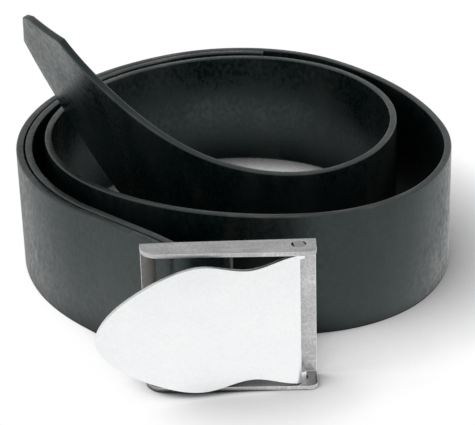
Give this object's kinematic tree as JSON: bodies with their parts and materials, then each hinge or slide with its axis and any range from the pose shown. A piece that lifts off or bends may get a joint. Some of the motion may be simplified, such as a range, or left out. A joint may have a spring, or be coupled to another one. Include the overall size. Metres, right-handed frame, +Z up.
{
  "type": "dive weight belt",
  "caption": "Coiled black rubber weight belt standing on its edge, with a bent steel buckle frame and a cam lever part open.",
  "frame": {"origin": "bottom centre of the whole belt's box, on the surface the coil stands on", "axes": "+Z up along the strap's width, -Y towards the buckle's front, +X along the buckle towards its hinge"},
  "size_m": [0.1778, 0.2352, 0.0979],
  "materials": {
    "strap_rubber": "satin",
    "frame_steel": "satin",
    "lever_steel": "satin"
  },
  "bodies": {
    "frame_and_strap": {"strap": "strap_rubber", "buckle_frame": "frame_steel"},
    "lever": {"buckle_lever": "lever_steel"}
  },
  "joints": [
    {"name": "lever_pivot", "type": "hinge", "parent": "frame_and_strap", "child": "lever", "pos_m": [0.02252, -0.0999, 0.028], "axis": [0, 0, 1], "range_deg": [-9.5, 100]}
  ]
}
